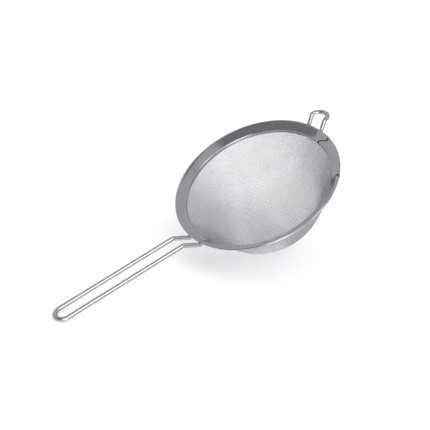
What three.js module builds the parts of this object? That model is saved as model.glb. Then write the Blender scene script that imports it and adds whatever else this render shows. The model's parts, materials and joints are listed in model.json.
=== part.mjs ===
// Wire-handled tea strainer, modelled as it lies on a table: +Z up, handle towards -X, rest hook towards +X.
// Everything is first built about the rim, whose top plane is z = 0 and whose centre is the origin. The whole
// strainer is then tipped until the bowl and the handle's end both touch the table.
import * as THREE from 'three';

// Driving dimensions, in millimetres and degrees.
const TOUCHING_GAP = 0.3;

const RIM_RADIUS = 46;
const RIM_SHEET = 0.4;
const LIP_DROP = 0.8;
const HEM_OUTER_BEND = 0.6;
const HEM_FLAT = 0.8;
const CLEAR_OPENING_RADIUS = 40.5;
const BAND_DROP = 2.8;
const THROAT_DROP = 4.6;
const THROAT_BEND = 0.5;

const MESH_THICKNESS = 0.4;
const MESH_COLLAR_TOP = -3.3;
const MESH_COLLAR_FOOT = -4.8;
const BOWL_DEPTH = 39.7;
const BOWL_WALL_ANGLE = 31;

const CLAMP_SHEET = 0.5;
const CLAMP_TOP = -3.3;
const CLAMP_FOOT = -5.3;

const HANDLE_WIRE_RADIUS = 1.15;
const HANDLE_HALF_SPACING = 4.4;
const HANDLE_WELD_END = { out: 43.1, up: -3.15 };
const HANDLE_UNDER_LIP = { out: 46.3, up: -2.36 };
const HANDLE_KNEE = { out: 54.1, up: 5.6 };
const HANDLE_TIP = { out: 126.6, up: 23.6 };
const HANDLE_LIP_BEND = 2;
const HANDLE_KNEE_BEND = 3;

const HOOK_WIRE_RADIUS = 1.15;
const HOOK_HALF_SPACING = 4.9;
const HOOK_WELD_END = { out: 43.1, up: -3.15 };
const HOOK_UNDER_LIP = { out: 46.3, up: -2.36 };
const HOOK_KNEE = { out: 50.66, up: 2.71 };
const HOOK_TIP = { out: 55.63, up: 1.58 };
const HOOK_LIP_BEND = 2;
const HOOK_KNEE_BEND = 1.7;
const HOOK_SIDEWAYS = 1.4; // its welds sit this far to +Y of the handle's line

// How finely round shapes are cut into flats.
const RING_SEGMENTS = 72;
const BOWL_ARC_STEPS = 11;
const BEND_STEP = THREE.MathUtils.degToRad(22.5);
const WIRE_HALF_SIDES = 5;

const radians = THREE.MathUtils.degToRad;

// A line through the given corners, each inner corner rounded to its bend radius, as a list of stations.
// A station is a point on the line and the direction in which the line runs there.
function roundedLine(corners, bendRadii) {
  const stations = [];
  const addStation = (point, direction) => {
    const previous = stations.at(-1);
    if (previous && previous.point.distanceTo(point) < 1e-6) return;
    stations.push({ point, direction });
  };
  const heading = (from, to) => to.clone().sub(from).normalize();

  addStation(corners[0], heading(corners[0], corners[1]));
  bendRadii.forEach((bendRadius, index) => {
    const corner = corners[index + 1];
    const before = heading(corners[index], corner);
    const after = heading(corner, corners[index + 2]);
    const turn = before.angleTo(after);
    const turnAxis = before.clone().cross(after).normalize();
    const bendStart = corner.clone().addScaledVector(before, -bendRadius * Math.tan(turn / 2));
    const inward = turnAxis.clone().cross(before);
    const centre = bendStart.clone().addScaledVector(inward, bendRadius);
    const steps = Math.ceil(turn / BEND_STEP);
    for (let step = 0; step <= steps; step += 1) {
      const angle = (turn * step) / steps;
      const spoke = bendStart.clone().sub(centre).applyAxisAngle(turnAxis, angle);
      addStation(centre.clone().add(spoke), before.clone().applyAxisAngle(turnAxis, angle));
    }
  });
  addStation(corners.at(-1), heading(corners.at(-2), corners.at(-1)));
  return stations;
}

// A curve that passes through its stations one by one, so that a long straight run costs a single step.
class StationCurve extends THREE.Curve {
  constructor(stations) {
    super();
    this.stations = stations;
  }

  stationAt(along) {
    return this.stations[Math.round(along * (this.stations.length - 1))];
  }

  getPoint(along, target = new THREE.Vector3()) {
    return target.copy(this.stationAt(along).point);
  }

  getPointAt(along, target) {
    return this.getPoint(along, target);
  }

  getTangentAt(along, target = new THREE.Vector3()) {
    return target.copy(this.stationAt(along).direction);
  }
}

// Round wire along the stations, with flat sawn ends.
function wireGeometry(stations, wireRadius) {
  const section = new THREE.Shape().absarc(0, 0, wireRadius, 0, 2 * Math.PI);
  return new THREE.ExtrudeGeometry(section, {
    steps: stations.length - 1,
    extrudePath: new StationCurve(stations),
    curveSegments: WIRE_HALF_SIDES,
  });
}

// Turns a profile, whose x is the distance from the axis and whose y is the height, about the Z axis.
function turnedGeometry(profile) {
  return new THREE.LatheGeometry(profile, RING_SEGMENTS).rotateX(Math.PI / 2);
}

// The outline of thin sheet that follows the stations: out along one side and back along the other.
function sheetOutline(stations, thickness) {
  const side = (offset) => stations.map(({ point, direction }) => new THREE.Vector2(
    point.x + direction.y * offset,
    point.y - direction.x * offset,
  ));
  return [...side(thickness / 2), ...side(-thickness / 2).reverse()];
}

const profilePoint = (outward, height) => new THREE.Vector3(outward, height, 0);

// The polished rim: a turned-down lip, a narrow flat hem, a band that dishes inwards and a short throat.
function rimBandGeometry() {
  const half = RIM_SHEET / 2;
  const hemInnerRadius = RIM_RADIUS - HEM_OUTER_BEND - HEM_FLAT;
  const centreLine = roundedLine([
    profilePoint(RIM_RADIUS - half, -LIP_DROP),
    profilePoint(RIM_RADIUS - half, -half),
    profilePoint(hemInnerRadius, -half),
    profilePoint(CLEAR_OPENING_RADIUS + half, -BAND_DROP - half),
    profilePoint(CLEAR_OPENING_RADIUS + half, -THROAT_DROP),
  ], [HEM_OUTER_BEND - half, THROAT_BEND, THROAT_BEND]);
  const outline = sheetOutline(centreLine, RIM_SHEET);
  return turnedGeometry([...outline, outline[0]]);
}

const meshCollarRadius = CLEAR_OPENING_RADIUS + RIM_SHEET + TOUCHING_GAP + MESH_THICKNESS / 2;
const clampRadius = meshCollarRadius + MESH_THICKNESS / 2 + TOUCHING_GAP + CLAMP_SHEET / 2;

// The round bottom of the bowl meets its straight wall without a corner, which settles its radius.
function bowlBottom() {
  const wallAngle = radians(BOWL_WALL_ANGLE);
  const depth = BOWL_DEPTH - MESH_THICKNESS / 2;
  const wallReach = meshCollarRadius * Math.cos(wallAngle) - (MESH_COLLAR_FOOT + depth) * Math.sin(wallAngle);
  const radius = wallReach / (1 - Math.sin(wallAngle));
  return { radius, centreHeight: radius - depth, wallAngle };
}

// The woven basket as one thin skin: a round bottom, a straight wall and an upright collar.
// It is turned by half a facet, so that a flat facet and not an edge lies lowest.
function meshBasketGeometry() {
  const { radius, centreHeight, wallAngle } = bowlBottom();
  const arcAngle = Math.PI / 2 - wallAngle;
  const stations = [];
  for (let step = 0; step <= BOWL_ARC_STEPS; step += 1) {
    const angle = (arcAngle * step) / BOWL_ARC_STEPS;
    stations.push({
      point: profilePoint(radius * Math.sin(angle), centreHeight - radius * Math.cos(angle)),
      direction: profilePoint(Math.cos(angle), Math.sin(angle)),
    });
  }
  const halfWallAngle = wallAngle / 2;
  stations.push({
    point: profilePoint(meshCollarRadius, MESH_COLLAR_FOOT),
    direction: profilePoint(Math.sin(halfWallAngle), Math.cos(halfWallAngle)),
  });
  stations.push({ point: profilePoint(meshCollarRadius, MESH_COLLAR_TOP), direction: profilePoint(0, 1) });
  return turnedGeometry(sheetOutline(stations, MESH_THICKNESS)).rotateZ(Math.PI / RING_SEGMENTS);
}

// The hidden ring that presses the basket's collar against the rim's throat.
function clampRingGeometry() {
  const upright = profilePoint(0, 1);
  const outline = sheetOutline([
    { point: profilePoint(clampRadius, CLAMP_FOOT), direction: upright },
    { point: profilePoint(clampRadius, CLAMP_TOP), direction: upright },
  ], CLAMP_SHEET);
  return turnedGeometry([...outline, outline[0]]);
}

// A bent wire loop: two legs from their welds under the rim, out past the lip, over the knee, to a round end.
function loopStations(direction, halfSpacing, places, lipBend, kneeBend) {
  const leg = (side) => places.map(({ out, up }) => new THREE.Vector3(direction * out, side * halfSpacing, up));
  return roundedLine(
    [...leg(1), ...leg(-1).reverse()],
    [lipBend, kneeBend, halfSpacing, halfSpacing, kneeBend, lipBend],
  );
}

function handleWireGeometry() {
  const places = [HANDLE_WELD_END, HANDLE_UNDER_LIP, HANDLE_KNEE, HANDLE_TIP];
  const stations = loopStations(-1, HANDLE_HALF_SPACING, places, HANDLE_LIP_BEND, HANDLE_KNEE_BEND);
  return wireGeometry(stations, HANDLE_WIRE_RADIUS);
}

function restHookGeometry() {
  const places = [HOOK_WELD_END, HOOK_UNDER_LIP, HOOK_KNEE, HOOK_TIP];
  const stations = loopStations(1, HOOK_HALF_SPACING, places, HOOK_LIP_BEND, HOOK_KNEE_BEND);
  return wireGeometry(stations, HOOK_WIRE_RADIUS).translate(0, HOOK_SIDEWAYS, 0);
}

// The tip that brings the bowl's round bottom and the handle's end down to one level.
function restTilt() {
  const { radius, centreHeight } = bowlBottom();
  const rise = HANDLE_TIP.up - centreHeight;
  const drop = radius + MESH_THICKNESS / 2 - HANDLE_WIRE_RADIUS;
  return Math.asin(drop / Math.hypot(HANDLE_TIP.out, rise)) + Math.atan2(rise, HANDLE_TIP.out);
}

const polishedSteel = () => new THREE.MeshStandardMaterial({ color: 0x9a9ea1, metalness: 1, roughness: 0.08 });
const wireSteel = () => new THREE.MeshStandardMaterial({ color: 0xc4c6c8, metalness: 1, roughness: 0.12 });
const wovenSteel = () => new THREE.MeshStandardMaterial({ color: 0xc9cccf, metalness: 1, roughness: 0.35 });

function piece(name, geometry, material) {
  const mesh = new THREE.Mesh(geometry, material);
  mesh.name = name;
  return mesh;
}

const strainer = new THREE.Group();
strainer.add(
  piece('rim_band', rimBandGeometry(), polishedSteel()),
  piece('clamp_ring', clampRingGeometry(), polishedSteel()),
  piece('mesh_basket', meshBasketGeometry(), wovenSteel()),
  piece('handle_wire', handleWireGeometry(), wireSteel()),
  piece('rest_hook', restHookGeometry(), wireSteel()),
);
strainer.rotation.y = -restTilt();

// The origin is on the table, under the middle of the whole strainer.
const footprint = new THREE.Box3().setFromObject(strainer, true);
const middle = footprint.getCenter(new THREE.Vector3());
strainer.position.set(-middle.x, -middle.y, -footprint.min.z);

const teaStrainer = new THREE.Group();
teaStrainer.add(strainer);
export default teaStrainer;
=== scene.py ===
import json
import math

import bpy
import numpy as np
from mathutils import Matrix, Vector


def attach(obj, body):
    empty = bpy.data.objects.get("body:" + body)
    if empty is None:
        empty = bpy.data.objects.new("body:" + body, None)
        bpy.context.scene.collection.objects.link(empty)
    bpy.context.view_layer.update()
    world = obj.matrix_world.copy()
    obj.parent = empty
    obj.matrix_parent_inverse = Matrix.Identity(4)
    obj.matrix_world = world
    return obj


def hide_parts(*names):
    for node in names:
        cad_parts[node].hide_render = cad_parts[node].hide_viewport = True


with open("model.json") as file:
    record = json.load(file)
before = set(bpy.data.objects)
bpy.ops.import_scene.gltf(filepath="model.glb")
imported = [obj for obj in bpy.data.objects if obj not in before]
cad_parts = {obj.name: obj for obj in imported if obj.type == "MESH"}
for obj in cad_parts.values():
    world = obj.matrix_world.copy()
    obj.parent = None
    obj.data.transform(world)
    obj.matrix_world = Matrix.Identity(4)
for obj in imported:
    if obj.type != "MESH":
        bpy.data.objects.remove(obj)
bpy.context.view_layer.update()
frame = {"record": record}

MM = 0.001
BODY = "root"

# Rim, in millimetres.
RIM_RADIUS = 46.0
RIM_SHEET = 0.4
LIP_DROP = 0.8
HEM_OUTER_BEND = 0.45
HEM_WIDTH = 0.55
HEM_INNER_BEND = 2.2
CLEAR_OPENING_RADIUS = 40.5
BAND_DROP = 2.8
THROAT_DROP = 4.6
THROAT_BEND = 0.45
RIM_STEPS = 720
BAND_STEP = 0.4

# Two dark lines cross the band, built as narrow notches.
# Each is (angle round the rim, sideways swing of its S-curve in millimetres).
SEAMS = (
    (math.radians(-13.3), 2.8),
    (math.radians(-55.0), -1.8),
)
SEAM_HALF_WIDTH = 0.5
SEAM_DEPTH = 0.3
# How much of a notch's width is dark with painted shade, and how far to each side of it the band follows the
# S-curve.
SEAM_DARK_SHARE = 0.95
SEAM_REACH = 4.0
# Where the S-curve crosses its middle and how far it takes to turn back, as shares of the way over the band.
SEAM_MIDDLE = 0.38
SEAM_WAVE = 0.66
# Where sections are cut beside a seam: close together in the notch, and a few wider steps outside it.
# The evenly spaced sections of the rest of the rim stay clear of them.
SEAM_CLOSE_STEPS = np.linspace(-0.6, 0.6, 25)
SEAM_OUTER_STEPS = np.array([-1.4, -1.0, -0.8, 0.8, 1.0, 1.4])
SEAM_CLEARING = 1.6

# Marks that welding left on the band.
WELD_MARK_RADIUS = 43.7
WELD_MARK_SPREAD = 1.3
WELD_MARK_DEPTH = 0.12
WELD_CREASE_SPREAD = 0.5
WELD_CREASE_DEPTH = 0.06

# Clamp ring under the rim.
CLAMP_SHEET = 0.5
CLAMP_RADIUS = 42.15
CLAMP_TOP = -3.3
CLAMP_FOOT = -5.3
CLAMP_EDGE = 0.1
CLAMP_STEPS = 360

# Woven bowl: its middle surface is a round bottom, a straight wall and an upright collar.
BOWL_DEPTH = 39.5
BOWL_WALL_ANGLE = math.radians(31)
COLLAR_RADIUS = 41.4
COLLAR_FOOT = -4.8
COLLAR_TOP = -3.3
WEAVE_PITCH = 0.74
WEAVE_WIRE_RADIUS = 0.11
WEAVE_TURN = math.radians(60)
WEAVE_SIDES = 5
# A wire with fewer crossings than this is left out.
FEWEST_CROSSINGS = 4
# Rounds of correction that bring a crossing to its pitch, on the two wires through the bowl's lowest point
# and between them.
MAIN_WIRE_ROUNDS = 6
BETWEEN_ROUNDS = 12

# Bent wires. A place is (distance out from the rim's centre, height).
HANDLE_WIRE_RADIUS = 1.15
HANDLE_HALF_SPACING = 4.4
HANDLE_PLACES = ((42.9, -3.0), (46.15, -2.05), (54.1, 5.6), (126.6, 23.6))
HANDLE_BENDS = (2.0, 3.0)
HOOK_WIRE_RADIUS = 1.15
HOOK_HALF_SPACING = 4.9
HOOK_PLACES = ((42.9, -3.1), (46.15, -2.1), (50.66, 2.71), (55.63, 1.58))
HOOK_BENDS = (2.0, 1.7)
HOOK_SIDEWAYS = 1.4
WIRE_SIDES = 20
BEND_STEP = math.radians(7)
# The wires' cut ends: how far their rounding reaches, in wire radii, and where its middle step lies.
END_ROUNDING = 0.25
END_SHOULDER = 0.3

# Where each wire is welded on: angle round the rim, half spacing, sideways offset.
WELD_PAIRS = ((math.pi, HANDLE_HALF_SPACING, 0.0), (0.0, HOOK_HALF_SPACING, HOOK_SIDEWAYS))

# Camera: its place in metres and its directions in the row frame, its lens and sensor in millimetres, and
# the azimuth in degrees that the studio's directions are counted from.
CAMERA_PLACE = Vector((-0.28410, -0.36331, 0.28914))
CAMERA_RIGHT = Vector((0.78836, -0.61425, 0.03438))
CAMERA_UP = Vector((0.27663, 0.40385, 0.87200))
CAMERA_LENS = 85.98
CAMERA_SENSOR = 36.0
CAMERA_AZIMUTH = -129.03

# Studio: half the floor's width in metres, the room's colour and the soft patches in the room.
# A patch is (degrees from the camera's side, degrees above the floor, inner and outer radius in degrees,
# colour).
FLOOR_REACH = 3.0
ROOM_COLOUR = (0.46, 0.475, 0.485)
ROOM_PATCHES = (
    (-55, 33, 36, 46, (0.21, 0.22, 0.225)),  # a dark side of the room
    (0, 90, 6, 15, (0.1, 0.1, 0.105)),  # a small dark spot overhead
    (0, -90, 52, 74, (0.7, 0.7, 0.7)),  # stands in for the floor, which the steel doesn't reflect
    (30, -38, 10, 24, (1.4, 1.4, 1.4)),  # a brighter part of that floor
    (8, 2, 10, 20, (2.2, 2.2, 2.2)),  # a light low on the camera's side
    (48, 43, 9, 15, (3.4, 3.4, 3.4)),  # a small bright lamp higher up and further round
)


# ---- Where the rim is ---------------------------------------------------------------------------------

def rim_place():
    """The rim's turn and centre in the row frame, read from the record's rim_face mount."""
    mount = next(m for m in frame["record"]["mounts"] if m["name"] == "rim_face")
    rim_up = np.array(mount["axis"])
    rim_up /= np.linalg.norm(rim_up)
    across = np.array([0.0, 1.0, 0.0])
    forward = np.cross(across, rim_up)
    centre = np.array([mount["pos_m"][0], 0.0, mount["pos_m"][2]])
    return np.stack([forward, across, rim_up], axis=1), centre


RIM_TURN, RIM_CENTRE = rim_place()


# ---- Mesh helpers -------------------------------------------------------------------------------------

def make_piece(name, points, faces, material, slot, replaced):
    """A smooth mesh piece from points in the rim's frame, in millimetres, shown in place of a CAD node."""
    mesh = bpy.data.meshes.new(name)
    placed = np.asarray(points, dtype=float) * MM @ RIM_TURN.T + RIM_CENTRE
    mesh.from_pydata([tuple(point) for point in placed], [], faces)
    mesh.polygons.foreach_set("use_smooth", [True] * len(mesh.polygons))
    mesh.update()
    mesh.materials.append(material)
    piece = bpy.data.objects.new(name, mesh)
    bpy.context.scene.collection.objects.link(piece)
    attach(piece, BODY)
    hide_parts(replaced)
    return piece


def unit(vector):
    """The vector scaled to a length of one."""
    return vector / np.linalg.norm(vector)


def rounded_line(corners, bends, step=BEND_STEP):
    """Points and directions along a line through the corners, each inner corner rounded to its bend."""
    corners = [np.asarray(c, dtype=float) for c in corners]
    points = [corners[0]]
    directions = [unit(corners[1] - corners[0])]
    for before, corner, after, bend in zip(corners, corners[1:], corners[2:], bends):
        incoming = unit(corner - before)
        outgoing = unit(after - corner)
        axis = unit(np.cross(incoming, outgoing))
        turn = math.acos(np.clip(incoming @ outgoing, -1, 1))
        start = corner - incoming * bend * math.tan(turn / 2)
        inward = np.cross(axis, incoming)
        steps = max(2, math.ceil(turn / step))
        for k in range(steps + 1):
            angle = turn * k / steps
            point = start + bend * (inward * (1 - math.cos(angle)) + incoming * math.sin(angle))
            if np.linalg.norm(point - points[-1]) > 1e-6:
                points.append(point)
                directions.append(incoming * math.cos(angle) + inward * math.sin(angle))
    points.append(corners[-1])
    directions.append(unit(corners[-1] - corners[-2]))
    return np.array(points), np.array(directions)


def filled(points, directions, longest):
    """The same line with extra points wherever two neighbours are further apart than the longest step."""
    more_points = [points[0]]
    more_directions = [directions[0]]
    for start, end, leaving, arriving in zip(points, points[1:], directions, directions[1:]):
        parts = max(1, math.ceil(np.linalg.norm(end - start) / longest))
        for k in range(1, parts + 1):
            more_points.append(start + (end - start) * k / parts)
            more_directions.append(unit(leaving + (arriving - leaving) * k / parts))
    return np.array(more_points), np.array(more_directions)


def sheet_outline(points, directions, thickness, edge_steps=5):
    """The closed outline of a sheet that follows a (radius, height) line, with rounded cut edges."""
    half = thickness / 2
    right = np.stack([directions[:, 1], -directions[:, 0]], axis=1)
    outline = list(points + right * half)
    for k in range(1, edge_steps):
        angle = math.pi * k / edge_steps
        outline.append(points[-1] + half * (right[-1] * math.cos(angle) + directions[-1] * math.sin(angle)))
    outline += list((points - right * half)[::-1])
    for k in range(1, edge_steps):
        angle = math.pi * k / edge_steps
        outline.append(points[0] - half * (right[0] * math.cos(angle) + directions[0] * math.sin(angle)))
    return np.array(outline)


def turned(outline, angles):
    """Points and faces of a closed outline turned about the rim's axis, one section at each angle."""
    count = len(outline)
    points = np.array([
        (radius * math.cos(angle), radius * math.sin(angle), height)
        for angle in angles for radius, height in outline
    ])
    faces = []
    for k in range(len(angles)):
        here = k * count
        there = ((k + 1) % len(angles)) * count
        for i in range(count):
            j = (i + 1) % count
            faces.append((here + i, there + i, there + j, here + j))
    return points, faces


def tube(points, directions, radius, sides, side_hint, end_rounding=0.0):
    """Points and faces of round wire along a line. Its ends are closed, with an optional small rounding."""
    points = np.asarray(points, dtype=float)
    directions = np.asarray(directions, dtype=float)
    radii = np.full(len(points), float(radius))
    if end_rounding:
        inset = radius * end_rounding
        shoulder = inset * END_SHOULDER
        first = [points[0], points[0] + directions[0] * shoulder, points[0] + directions[0] * inset]
        last = [points[-1] - directions[-1] * inset, points[-1] - directions[-1] * shoulder, points[-1]]
        points = np.vstack([first, points[1:-1], last])
        directions = np.vstack([[directions[0]] * 3, directions[1:-1], [directions[-1]] * 3])
        rounding = [radius - inset, radius - shoulder, radius]
        radii = np.concatenate([rounding, np.full(len(points) - 6, float(radius)), rounding[::-1]])
    side_hint = np.broadcast_to(side_hint, points.shape)
    across = np.cross(directions, side_hint)
    across /= np.linalg.norm(across, axis=1, keepdims=True)
    upward = np.cross(across, directions)
    turns = 2 * math.pi * np.arange(sides) / sides
    ring = (upward[:, None, :] * np.cos(turns)[None, :, None]
            - across[:, None, :] * np.sin(turns)[None, :, None])
    vertices = (points[:, None, :] + ring * radii[:, None, None]).reshape(-1, 3)
    faces = []
    for k in range(len(points) - 1):
        here = k * sides
        for i in range(sides):
            j = (i + 1) % sides
            faces.append((here + i, here + j, here + sides + j, here + sides + i))
    faces.append(tuple(range(sides - 1, -1, -1)))
    last_ring = (len(points) - 1) * sides
    faces.append(tuple(range(last_ring, last_ring + sides)))
    return vertices, faces


def joined(parts):
    """Several (points, faces) pairs as one pair."""
    points = []
    faces = []
    offset = 0
    for part_points, part_faces in parts:
        points.append(part_points)
        faces += [tuple(i + offset for i in face) for face in part_faces]
        offset += len(part_points)
    return np.vstack(points), faces


# ---- Materials ----------------------------------------------------------------------------------------

class Nodes:
    """A small helper that adds shader nodes to a material and links them."""

    def __init__(self, name):
        self.material = bpy.data.materials.new(name)
        self.material.use_nodes = True
        self.tree = self.material.node_tree
        self.shader = self.tree.nodes["Principled BSDF"]

    def add(self, kind, inputs=None, **settings):
        """A new node with the given inputs, each a number or another node's output."""
        node = self.tree.nodes.new(kind)
        for key, value in settings.items():
            setattr(node, key, value)
        for key, value in (inputs or {}).items():
            if isinstance(value, bpy.types.NodeSocket):
                self.tree.links.new(value, node.inputs[key])
            else:
                node.inputs[key].default_value = value
        return node

    def link(self, output, target):
        """Joins an output to one of the shader's inputs."""
        self.tree.links.new(output, self.shader.inputs[target])

    def rim_coordinates(self):
        """Positions in the rim's own frame, in metres, so that patterns can follow the rim and the bowl."""
        place = self.add("ShaderNodeTexCoord").outputs["Object"]
        turn = Matrix(RIM_TURN.tolist()).to_euler()
        inputs = {"Vector": place, "Location": tuple(RIM_CENTRE), "Rotation": turn}
        return self.add("ShaderNodeMapping", inputs, vector_type="TEXTURE").outputs["Vector"]

    def ramp(self, factor, stops):
        """A colour ramp with (position, colour) stops."""
        node = self.add("ShaderNodeValToRGB", {"Fac": factor})
        node.color_ramp.elements[0].position = stops[0][0]
        node.color_ramp.elements[0].color = (*stops[0][1], 1)
        node.color_ramp.elements[1].position = stops[-1][0]
        node.color_ramp.elements[1].color = (*stops[-1][1], 1)
        for position, colour in stops[1:-1]:
            element = node.color_ramp.elements.new(position)
            element.color = (*colour, 1)
        return node.outputs["Color"]

    def spread(self, factor, low, high):
        """A factor from 0 to 1 spread between two values."""
        node = self.add("ShaderNodeMapRange", {"Value": factor, "To Min": low, "To Max": high})
        return node.outputs["Result"]


def polished_sheet(name, tint, edge):
    """Mirror-polished sheet: faint turned polishing lines, cloudy roughness and a few fine scratches."""
    nodes = Nodes(name)
    place = nodes.rim_coordinates()
    parts = nodes.add("ShaderNodeSeparateXYZ", {"Vector": place}).outputs
    flat = nodes.add("ShaderNodeCombineXYZ", {"X": parts["X"], "Y": parts["Y"]}).outputs["Vector"]
    radius = nodes.add("ShaderNodeVectorMath", {0: flat}, operation="LENGTH").outputs["Value"]
    line_noise = {"W": radius, "Scale": 9000.0, "Detail": 3.0}
    lines = nodes.add("ShaderNodeTexNoise", line_noise, noise_dimensions="1D").outputs["Fac"]
    clouds = nodes.add("ShaderNodeTexNoise", {"Vector": place, "Scale": 90.0, "Detail": 4.0}).outputs["Fac"]
    askew = {"Vector": place, "Rotation": (0.3, 0.5, 0.9), "Scale": (900.0, 60.0, 400.0)}
    stretched = nodes.add("ShaderNodeMapping", askew).outputs["Vector"]
    scratch_noise = {"Vector": stretched, "Scale": 3.0, "Detail": 6.0, "Roughness": 0.7}
    scratches = nodes.add("ShaderNodeTexNoise", scratch_noise).outputs["Fac"]
    nodes.link(nodes.ramp(clouds, [(0.3, [c * 0.93 for c in tint]), (0.7, tint)]), "Base Color")
    nodes.link(nodes.spread(clouds, 0.035, 0.085), "Roughness")
    grain = nodes.add("ShaderNodeMath", {0: lines, 1: scratches}, operation="ADD").outputs["Value"]
    bump = nodes.add("ShaderNodeBump", {"Height": grain, "Strength": 0.12, "Distance": 0.00002})
    nodes.link(bump.outputs["Normal"], "Normal")
    nodes.shader.inputs["Metallic"].default_value = 1.0
    nodes.shader.inputs["Specular Tint"].default_value = (*edge, 1)
    return nodes.material


def drawn_wire(name, tint, edge):
    """Drawn and polished wire: streaks along the handle and slight clouding."""
    nodes = Nodes(name)
    place = nodes.rim_coordinates()
    along_handle = {"Vector": place, "Scale": (40.0, 2500.0, 2500.0)}
    stretched = nodes.add("ShaderNodeMapping", along_handle).outputs["Vector"]
    streak_noise = {"Vector": stretched, "Scale": 1.0, "Detail": 3.0}
    streaks = nodes.add("ShaderNodeTexNoise", streak_noise).outputs["Fac"]
    clouds = nodes.add("ShaderNodeTexNoise", {"Vector": place, "Scale": 160.0, "Detail": 3.0}).outputs["Fac"]
    nodes.link(nodes.ramp(clouds, [(0.3, [c * 0.9 for c in tint]), (0.7, tint)]), "Base Color")
    nodes.link(nodes.spread(clouds, 0.05, 0.12), "Roughness")
    bump = nodes.add("ShaderNodeBump", {"Height": streaks, "Strength": 0.15, "Distance": 0.00002})
    nodes.link(bump.outputs["Normal"], "Normal")
    nodes.shader.inputs["Metallic"].default_value = 1.0
    nodes.shader.inputs["Specular Tint"].default_value = (*edge, 1)
    return nodes.material


def woven_wire(name, tint, edge):
    """Bright annealed weaving wire: softly uneven in colour and gloss."""
    nodes = Nodes(name)
    place = nodes.rim_coordinates()
    clouds = nodes.add("ShaderNodeTexNoise", {"Vector": place, "Scale": 240.0, "Detail": 3.0}).outputs["Fac"]
    grain = nodes.add("ShaderNodeTexNoise", {"Vector": place, "Scale": 6000.0, "Detail": 2.0}).outputs["Fac"]
    nodes.link(nodes.ramp(clouds, [(0.3, [c * 0.92 for c in tint]), (0.7, tint)]), "Base Color")
    nodes.link(nodes.spread(grain, 0.16, 0.28), "Roughness")
    nodes.shader.inputs["Metallic"].default_value = 1.0
    nodes.shader.inputs["Specular Tint"].default_value = (*edge, 1)
    return nodes.material


def painted_seam_shade(name):
    """Dark, dull colour on the faces inside the two seams that cross the band: painted shade for the seams'
    depths.
    """
    nodes = Nodes(name)
    place = nodes.rim_coordinates()
    clouds = nodes.add("ShaderNodeTexNoise", {"Vector": place, "Scale": 1500.0}).outputs["Fac"]
    nodes.link(nodes.ramp(clouds, [(0.3, (0.01, 0.01, 0.01)), (0.7, (0.035, 0.035, 0.037))]), "Base Color")
    nodes.link(nodes.spread(clouds, 0.5, 0.8), "Roughness")
    nodes.shader.inputs["Specular IOR Level"].default_value = 0.05
    return nodes.material


# The seams' dark material is painted shade.
SEAM_SHADE_PAINT = painted_seam_shade("seam_painted_shade")
RIM_STEEL = polished_sheet("rim_polished_steel", (0.66, 0.67, 0.68), (1.0, 1.0, 1.0))
WIRE_STEEL = drawn_wire("drawn_wire_steel", (0.78, 0.79, 0.80), (0.25, 0.25, 0.26))
WOVEN_STEEL = woven_wire("woven_wire_steel", (0.73, 0.74, 0.76), (0.45, 0.45, 0.46))


# ---- Rim ----------------------------------------------------------------------------------------------

def rim_line():
    """The middle line of the rim's sheet, from the lip's edge over the hem and the band to the throat."""
    half = RIM_SHEET / 2
    corners = [
        (RIM_RADIUS - half, -LIP_DROP + half, 0),
        (RIM_RADIUS - half, -half, 0),
        (RIM_RADIUS - HEM_OUTER_BEND - HEM_WIDTH, -half, 0),
        (CLEAR_OPENING_RADIUS + half, -BAND_DROP - half, 0),
        (CLEAR_OPENING_RADIUS + half, -THROAT_DROP + half, 0),
    ]
    points, directions = rounded_line(corners, (HEM_OUTER_BEND - half / 2, HEM_INNER_BEND, THROAT_BEND))
    points, directions = filled(points, directions, BAND_STEP)
    return points[:, :2], directions[:, :2]


def band_height(radius):
    """Height of the band's top face at a distance from the axis."""
    hem_inner = RIM_RADIUS - HEM_OUTER_BEND - HEM_WIDTH
    return -BAND_DROP * (hem_inner - radius) / (hem_inner - CLEAR_OPENING_RADIUS)


def turn_from(seam_angle, angles):
    """How far round from a seam each angle is, between half a turn either way."""
    return (angles - seam_angle + math.pi) % (2 * math.pi) - math.pi


def rim_angles():
    """Section angles round the rim, packed closely at the seams."""
    angles = np.arange(RIM_STEPS) * 2 * math.pi / RIM_STEPS
    close = np.concatenate([SEAM_CLOSE_STEPS, SEAM_OUTER_STEPS]) / RIM_RADIUS
    for seam_angle, _ in SEAMS:
        angles = angles[np.abs(turn_from(seam_angle, angles)) > SEAM_CLEARING / RIM_RADIUS]
        angles = np.concatenate([angles, (seam_angle + close) % (2 * math.pi)])
    return np.sort(angles)


def seam_marks(angle, across):
    """How far round the seams' S-curves pull each point, and how deep the seams' notches are there."""
    turns = np.maximum((across - SEAM_MIDDLE) / SEAM_WAVE, -0.5)  # full swing from the inner turn inwards
    wave = -np.sin(math.pi * turns)
    bend = np.zeros(len(angle))
    depth = np.zeros(len(angle))
    for seam_angle, swing in SEAMS:
        along = turn_from(seam_angle, angle) * RIM_RADIUS
        bend += swing * wave * np.exp(-(along / SEAM_REACH) ** 2) / RIM_RADIUS
        depth += SEAM_DEPTH * np.exp(-(along / SEAM_HALF_WIDTH) ** 4)
    return bend, depth


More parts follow.
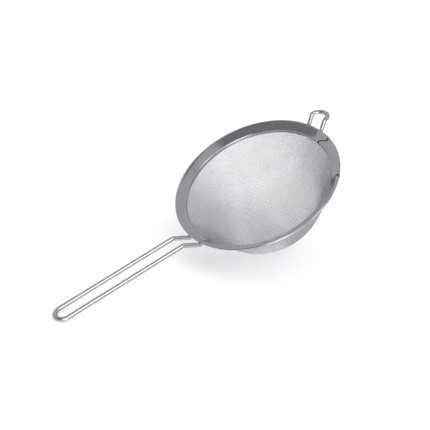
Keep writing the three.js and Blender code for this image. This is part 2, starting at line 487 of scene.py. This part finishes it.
def weld_marks(points):
    """How deep the round weld marks, and the shallow crease between each pair of them, are at each point."""
    radius = np.hypot(points[:, 0], points[:, 1])
    depth = np.zeros(len(points))
    for middle, spacing, sideways in WELD_PAIRS:
        for side in (-1, 1):
            turn = math.asin((side * spacing + sideways) / WELD_MARK_RADIUS)
            mark_angle = middle + turn * math.cos(middle)
            mark = np.array([
                WELD_MARK_RADIUS * math.cos(mark_angle),
                WELD_MARK_RADIUS * math.sin(mark_angle),
                band_height(WELD_MARK_RADIUS),
            ])
            distance = np.linalg.norm(points - mark, axis=1)
            depth += WELD_MARK_DEPTH * np.exp(-(distance / WELD_MARK_SPREAD) ** 2)
        across_pair = points[:, 1] - sideways
        same_side = points[:, 0] * math.cos(middle) > 0
        from_crease = np.hypot(radius - WELD_MARK_RADIUS, np.maximum(np.abs(across_pair) - spacing, 0))
        depth += WELD_CREASE_DEPTH * same_side * np.exp(-(from_crease / WELD_CREASE_SPREAD) ** 2)
    return depth


def mark_rim(points):
    """Bends the sections near each seam into its S-curve, then presses in the seams and the weld marks."""
    angle = np.arctan2(points[:, 1], points[:, 0])
    radius = np.hypot(points[:, 0], points[:, 1])
    across = (radius - CLEAR_OPENING_RADIUS) / (RIM_RADIUS - CLEAR_OPENING_RADIUS)
    bend, depth = seam_marks(angle, across)
    angle += bend
    outward = np.stack([np.cos(angle), np.sin(angle), np.zeros(len(points))], axis=1)
    points = outward * radius[:, None] + [[0, 0, 1]] * points[:, 2:]
    depth += weld_marks(points)
    slope = math.atan2(BAND_DROP, RIM_RADIUS - HEM_OUTER_BEND - HEM_WIDTH - CLEAR_OPENING_RADIUS)
    normal = -outward * math.sin(slope) + np.array([0, 0, math.cos(slope)])
    return points - normal * depth[:, None]


def build_rim():
    """The turned rim with its marks. The faces inside the two seams are dark, with painted shade."""
    outline = sheet_outline(*rim_line(), RIM_SHEET)
    angles = rim_angles()
    points, faces = turned(outline, angles)
    rim = make_piece("rim_polished", mark_rim(points), faces, RIM_STEEL, "polished_steel", "rim_band")
    rim.data.materials.append(SEAM_SHADE_PAINT)
    middles = (angles + np.roll(angles, -1)) / 2
    from_seams = [np.abs(turn_from(seam_angle, middles)) * RIM_RADIUS for seam_angle, _ in SEAMS]
    in_seam = np.min(from_seams, axis=0) < SEAM_HALF_WIDTH * SEAM_DARK_SHARE
    # The faces inside the seams get the painted shade.
    rim.data.polygons.foreach_set("material_index", np.repeat(in_seam, len(outline)).astype(int))


def build_clamp_ring():
    """An upright strip of sheet with rounded edges, turned into a ring."""
    points = np.array([(CLAMP_RADIUS, CLAMP_FOOT + CLAMP_EDGE), (CLAMP_RADIUS, CLAMP_TOP - CLAMP_EDGE)])
    directions = np.array([(0.0, 1.0), (0.0, 1.0)])
    outline = sheet_outline(points, directions, CLAMP_SHEET, edge_steps=8)
    angles = np.arange(CLAMP_STEPS) * 2 * math.pi / CLAMP_STEPS
    make_piece("clamp_ring_fine", *turned(outline, angles), RIM_STEEL, "polished_steel", "clamp_ring")


# ---- Woven bowl ---------------------------------------------------------------------------------------

class Bowl:
    """The bowl's middle surface: where the nearest point on it is, and which way it faces there."""

    def __init__(self):
        across = COLLAR_RADIUS * math.cos(BOWL_WALL_ANGLE)
        reach = across - (COLLAR_FOOT + BOWL_DEPTH) * math.sin(BOWL_WALL_ANGLE)
        self.radius = reach / (1 - math.sin(BOWL_WALL_ANGLE))
        self.centre = self.radius - BOWL_DEPTH
        self.arc = math.pi / 2 - BOWL_WALL_ANGLE
        self.wall_foot = np.array([
            self.radius * math.sin(self.arc),
            self.centre - self.radius * math.cos(self.arc),
        ])
        self.wall_top = np.array([COLLAR_RADIUS, COLLAR_FOOT])
        self.wall_length = np.linalg.norm(self.wall_top - self.wall_foot)
        self.wall_run = (self.wall_top - self.wall_foot) / self.wall_length

    def nearest(self, points):
        """Nearest surface points and outward normals. The collar goes on upwards without an end."""
        around = np.hypot(points[:, 0], points[:, 1])
        heading = points[:, :2] / np.maximum(around, 1e-9)[:, None]
        height = points[:, 2] - self.centre
        angle = np.arctan2(around, -height)
        round_heights = self.centre - self.radius * np.cos(angle)
        round_part = np.stack([self.radius * np.sin(angle), round_heights], axis=1)
        round_normal = np.stack([np.sin(angle), -np.cos(angle)], axis=1)
        along = (np.stack([around, points[:, 2]], axis=1) - self.wall_foot) @ self.wall_run
        wall_part = self.wall_foot + along[:, None] * self.wall_run
        wall_normal = np.broadcast_to([self.wall_run[1], -self.wall_run[0]], wall_part.shape)
        collar_radii = np.full(len(points), COLLAR_RADIUS)
        collar_part = np.stack([collar_radii, np.maximum(points[:, 2], COLLAR_FOOT)], axis=1)
        collar_normal = np.broadcast_to([1.0, 0.0], wall_part.shape)
        on_round = (angle <= self.arc)[:, None]
        on_wall = (along <= self.wall_length)[:, None]
        section = np.where(on_round, round_part, np.where(on_wall, wall_part, collar_part))
        normal = np.where(on_round, round_normal, np.where(on_wall, wall_normal, collar_normal))
        spot = np.column_stack([heading * section[:, :1], section[:, 1]])
        facing = np.column_stack([heading * normal[:, :1], normal[:, 1]])
        return spot, facing


def fishnet(bowl, pitch, count):
    """Crossings of a square weave pressed into the bowl, for one quarter of it.

    Crossing [i, j] keeps one pitch to its neighbours [i - 1, j] and [i, j - 1], as real wires do, so the
    squares lean into diamonds towards the quarter's middle.
    """
    net = np.zeros((count, count, 3))
    net[0, 0] = (0, 0, -BOWL_DEPTH)
    for axis in (0, 1):
        previous = net[0, 0].copy()
        step = np.zeros(3)
        step[axis] = pitch
        for k in range(1, count):
            spot = previous + step
            for _ in range(MAIN_WIRE_ROUNDS):
                spot = bowl.nearest(spot[None])[0][0]
                spot = previous + pitch * unit(spot - previous)
            spot = bowl.nearest(spot[None])[0][0]
            net[(k, 0) if axis == 0 else (0, k)] = spot
            step = spot - previous
            previous = spot
    for diagonal in range(2, 2 * count - 1):
        i = np.arange(max(1, diagonal - count + 1), min(count, diagonal))
        j = diagonal - i
        left = net[i - 1, j]
        below = net[i, j - 1]
        corner = net[i - 1, j - 1]
        spot, facing = bowl.nearest(left + below - corner)
        for _ in range(BETWEEN_ROUNDS):
            to_left = spot - left
            to_below = spot - below
            left_length = np.linalg.norm(to_left, axis=1)
            below_length = np.linalg.norm(to_below, axis=1)
            a = to_left / left_length[:, None]
            b = to_below / below_length[:, None]
            a -= facing * np.sum(a * facing, axis=1)[:, None]
            b -= facing * np.sum(b * facing, axis=1)[:, None]
            aa = np.sum(a * a, 1)
            ab = np.sum(a * b, 1)
            bb = np.sum(b * b, 1)
            miss_a = left_length - pitch
            miss_b = below_length - pitch
            divisor = np.maximum(aa * bb - ab * ab, 1e-4)
            move_a = (miss_a * bb - miss_b * ab) / divisor
            move_b = (miss_b * aa - miss_a * ab) / divisor
            step = -(a * move_a[:, None] + b * move_b[:, None])
            size = np.linalg.norm(step, axis=1)
            step *= np.minimum(1, 0.5 * pitch / np.maximum(size, 1e-9))[:, None]
            spot, facing = bowl.nearest(spot + step)
        net[i, j] = spot
    return net


def whole_net(quarter):
    """The four mirrored quarters as one net, with the bowl's lowest point in the middle."""
    count = len(quarter)
    order = np.abs(np.arange(-count + 1, count))
    sign = np.sign(np.arange(-count + 1, count))
    sign[count - 1] = 1
    net = quarter[np.ix_(order, order)].copy()
    net[:, :, 0] *= sign[:, None]
    net[:, :, 1] *= sign[None, :]
    return net


def weave_wires(net, bowl, first_way):
    """Tubes for the wires of one direction, passing over and under the wires of the other."""
    lines = net if first_way else net.transpose(1, 0, 2)
    turn = np.array([
        [math.cos(WEAVE_TURN), -math.sin(WEAVE_TURN), 0],
        [math.sin(WEAVE_TURN), math.cos(WEAVE_TURN), 0],
        [0, 0, 1],
    ])
    tubes = []
    for number in range(lines.shape[1]):
        line = lines[:, number]
        inside = np.flatnonzero(line[:, 2] <= COLLAR_TOP - WEAVE_WIRE_RADIUS)
        if len(inside) < FEWEST_CROSSINGS:
            continue
        line = line[inside[0]:inside[-1] + 1]
        _, facing = bowl.nearest(line)
        parity = (-1.0) ** (np.arange(inside[0], inside[-1] + 1) + number)
        side = parity if first_way else -parity
        centres = line + facing * (side * WEAVE_WIRE_RADIUS)[:, None]
        directions = np.gradient(line, axis=0)
        directions /= np.linalg.norm(directions, axis=1, keepdims=True)
        vertices, faces = tube(centres, directions, WEAVE_WIRE_RADIUS, WEAVE_SIDES, facing)
        tubes.append((vertices @ turn.T, faces))
    return joined(tubes)


def build_bowl():
    """The wires of the bowl, as one piece for each direction of the weave."""
    bowl = Bowl()
    reach = bowl.radius * bowl.arc + bowl.wall_length + COLLAR_TOP - COLLAR_FOOT
    net = whole_net(fishnet(bowl, WEAVE_PITCH, math.ceil(reach / WEAVE_PITCH) + 2))
    for name, first_way in (("woven_warp", True), ("woven_weft", False)):
        points, faces = weave_wires(net, bowl, first_way)
        make_piece(name, points, faces, WOVEN_STEEL, "woven_steel", "mesh_basket")


# ---- Handle and rest hook -----------------------------------------------------------------------------

def wire_loop(direction, half_spacing, places, bends, radius):
    """A bent wire from its weld under the rim out to a round end and back to the other weld."""
    leg = [(direction * out, half_spacing, up) for out, up in places]
    other = [(x, -y, z) for x, y, z in reversed(leg)]
    lip_bend, knee_bend = bends
    points, directions = rounded_line(
        leg + other, (lip_bend, knee_bend, half_spacing, half_spacing, knee_bend, lip_bend))
    return tube(points, directions, radius, WIRE_SIDES, (0, 0, 1.0), end_rounding=END_ROUNDING)


def build_handle():
    """The handle's wire, which points away from the hook."""
    shape = wire_loop(-1, HANDLE_HALF_SPACING, HANDLE_PLACES, HANDLE_BENDS, HANDLE_WIRE_RADIUS)
    make_piece("handle_bent_wire", *shape, WIRE_STEEL, "wire_steel", "handle_wire")


def build_hook():
    """The rest hook's wire, a little to one side of the handle's line."""
    points, faces = wire_loop(1, HOOK_HALF_SPACING, HOOK_PLACES, HOOK_BENDS, HOOK_WIRE_RADIUS)
    points = points + (0, HOOK_SIDEWAYS, 0)
    make_piece("rest_hook_bent_wire", points, faces, WIRE_STEEL, "wire_steel", "rest_hook")


build_rim()
build_clamp_ring()
build_bowl()
build_handle()
build_hook()


# ---- Studio -------------------------------------------------------------------------------------------

def studio_floor():
    """Plain white paper under the strainer. The steel doesn't reflect it."""
    nodes = Nodes("studio_paper")
    place = nodes.add("ShaderNodeTexCoord").outputs["Object"]
    fibres = nodes.add("ShaderNodeTexNoise", {"Vector": place, "Scale": 40.0, "Detail": 4.0}).outputs["Fac"]
    nodes.link(nodes.ramp(fibres, [(0.3, (0.93, 0.93, 0.93)), (0.7, (0.95, 0.95, 0.95))]), "Base Color")
    nodes.shader.inputs["Roughness"].default_value = 0.9
    nodes.shader.inputs["Specular IOR Level"].default_value = 0.0
    mesh = bpy.data.meshes.new("studio_floor")
    reach = FLOOR_REACH
    corners = [(-reach, -reach, 0), (reach, -reach, 0), (reach, reach, 0), (-reach, reach, 0)]
    mesh.from_pydata(corners, [], [(0, 1, 2, 3)])
    mesh.materials.append(nodes.material)
    floor = bpy.data.objects.new("studio_floor", mesh)
    bpy.context.scene.collection.objects.link(floor)
    floor.visible_glossy = False


def studio_light(name, around, above, distance, size, radiance, reflected=True, shadows=True):
    """A rectangular light facing the strainer, its direction given as in toward(), its distance in metres."""
    place = distance * toward(around, above)
    light = bpy.data.lights.new(name, "AREA")
    light.shape = "RECTANGLE"
    light.size, light.size_y = size
    light.energy = radiance * math.pi * size[0] * size[1]
    light.use_shadow = shadows
    lamp = bpy.data.objects.new(name, light)
    lamp.location = place
    lamp.rotation_euler = (-place).to_track_quat("-Z", "Y").to_euler()
    lamp.visible_glossy = reflected
    bpy.context.scene.collection.objects.link(lamp)


def toward(around, above):
    """A direction given in degrees round from the camera's side and degrees above the floor."""
    turn = math.radians(CAMERA_AZIMUTH + around)
    rise = math.radians(above)
    return Vector((math.cos(turn) * math.cos(rise), math.sin(turn) * math.cos(rise), math.sin(rise)))


def studio_world(walls, patches):
    """Soft grey room light with soft-edged patches, which the steel reflects."""
    world = bpy.data.worlds.new("studio_world")
    world.use_nodes = True
    tree = world.node_tree
    direction = tree.nodes.new("ShaderNodeTexCoord").outputs["Generated"]
    colour = tree.nodes.new("ShaderNodeRGB").outputs["Color"]
    colour.default_value = (*walls, 1)
    for around, above, inner, outer, patch_colour in patches:
        along = tree.nodes.new("ShaderNodeVectorMath")
        along.operation = "DOT_PRODUCT"
        along.inputs[1].default_value = toward(around, above)
        tree.links.new(direction, along.inputs[0])
        amount = tree.nodes.new("ShaderNodeMapRange")
        amount.interpolation_type = "SMOOTHSTEP"
        amount.inputs["From Min"].default_value = math.cos(math.radians(outer))
        amount.inputs["From Max"].default_value = math.cos(math.radians(inner))
        tree.links.new(along.outputs["Value"], amount.inputs["Value"])
        mix = tree.nodes.new("ShaderNodeMix")
        mix.data_type = "RGBA"
        colour_inputs = [socket for socket in mix.inputs if socket.type == "RGBA"]
        tree.links.new(amount.outputs["Result"], mix.inputs[0])
        tree.links.new(colour, colour_inputs[0])
        colour_inputs[1].default_value = (*patch_colour, 1)
        colour = next(socket for socket in mix.outputs if socket.type == "RGBA")
    tree.links.new(colour, tree.nodes["Background"].inputs["Color"])
    bpy.context.scene.world = world


def studio_camera():
    """The camera at the place and turn that the strainer is seen from."""
    camera = bpy.data.cameras.new("photo_camera")
    camera.lens = CAMERA_LENS
    camera.sensor_width = CAMERA_SENSOR
    camera.clip_start = 0.01
    back = CAMERA_RIGHT.cross(CAMERA_UP).normalized()
    up = back.cross(CAMERA_RIGHT).normalized()
    turn = Matrix((CAMERA_RIGHT.normalized(), up, back)).transposed().to_4x4()
    holder = bpy.data.objects.new("photo_camera", camera)
    holder.matrix_world = Matrix.Translation(CAMERA_PLACE) @ turn
    bpy.context.scene.collection.objects.link(holder)
    bpy.context.scene.camera = holder


studio_floor()
studio_world(ROOM_COLOUR, ROOM_PATCHES)
studio_light("overhead_fill", 0, 85, 1.4, (2.4, 2.4), 1.4, reflected=False, shadows=False)
studio_light("overhead_key", 0, 85, 1.4, (2.4, 2.4), 0.4, reflected=False)
studio_light("front_softbox", 8, 26, 1.5, (1.6, 0.34), 2.8)
studio_camera()
bpy.context.scene.view_settings.view_transform = "Standard"
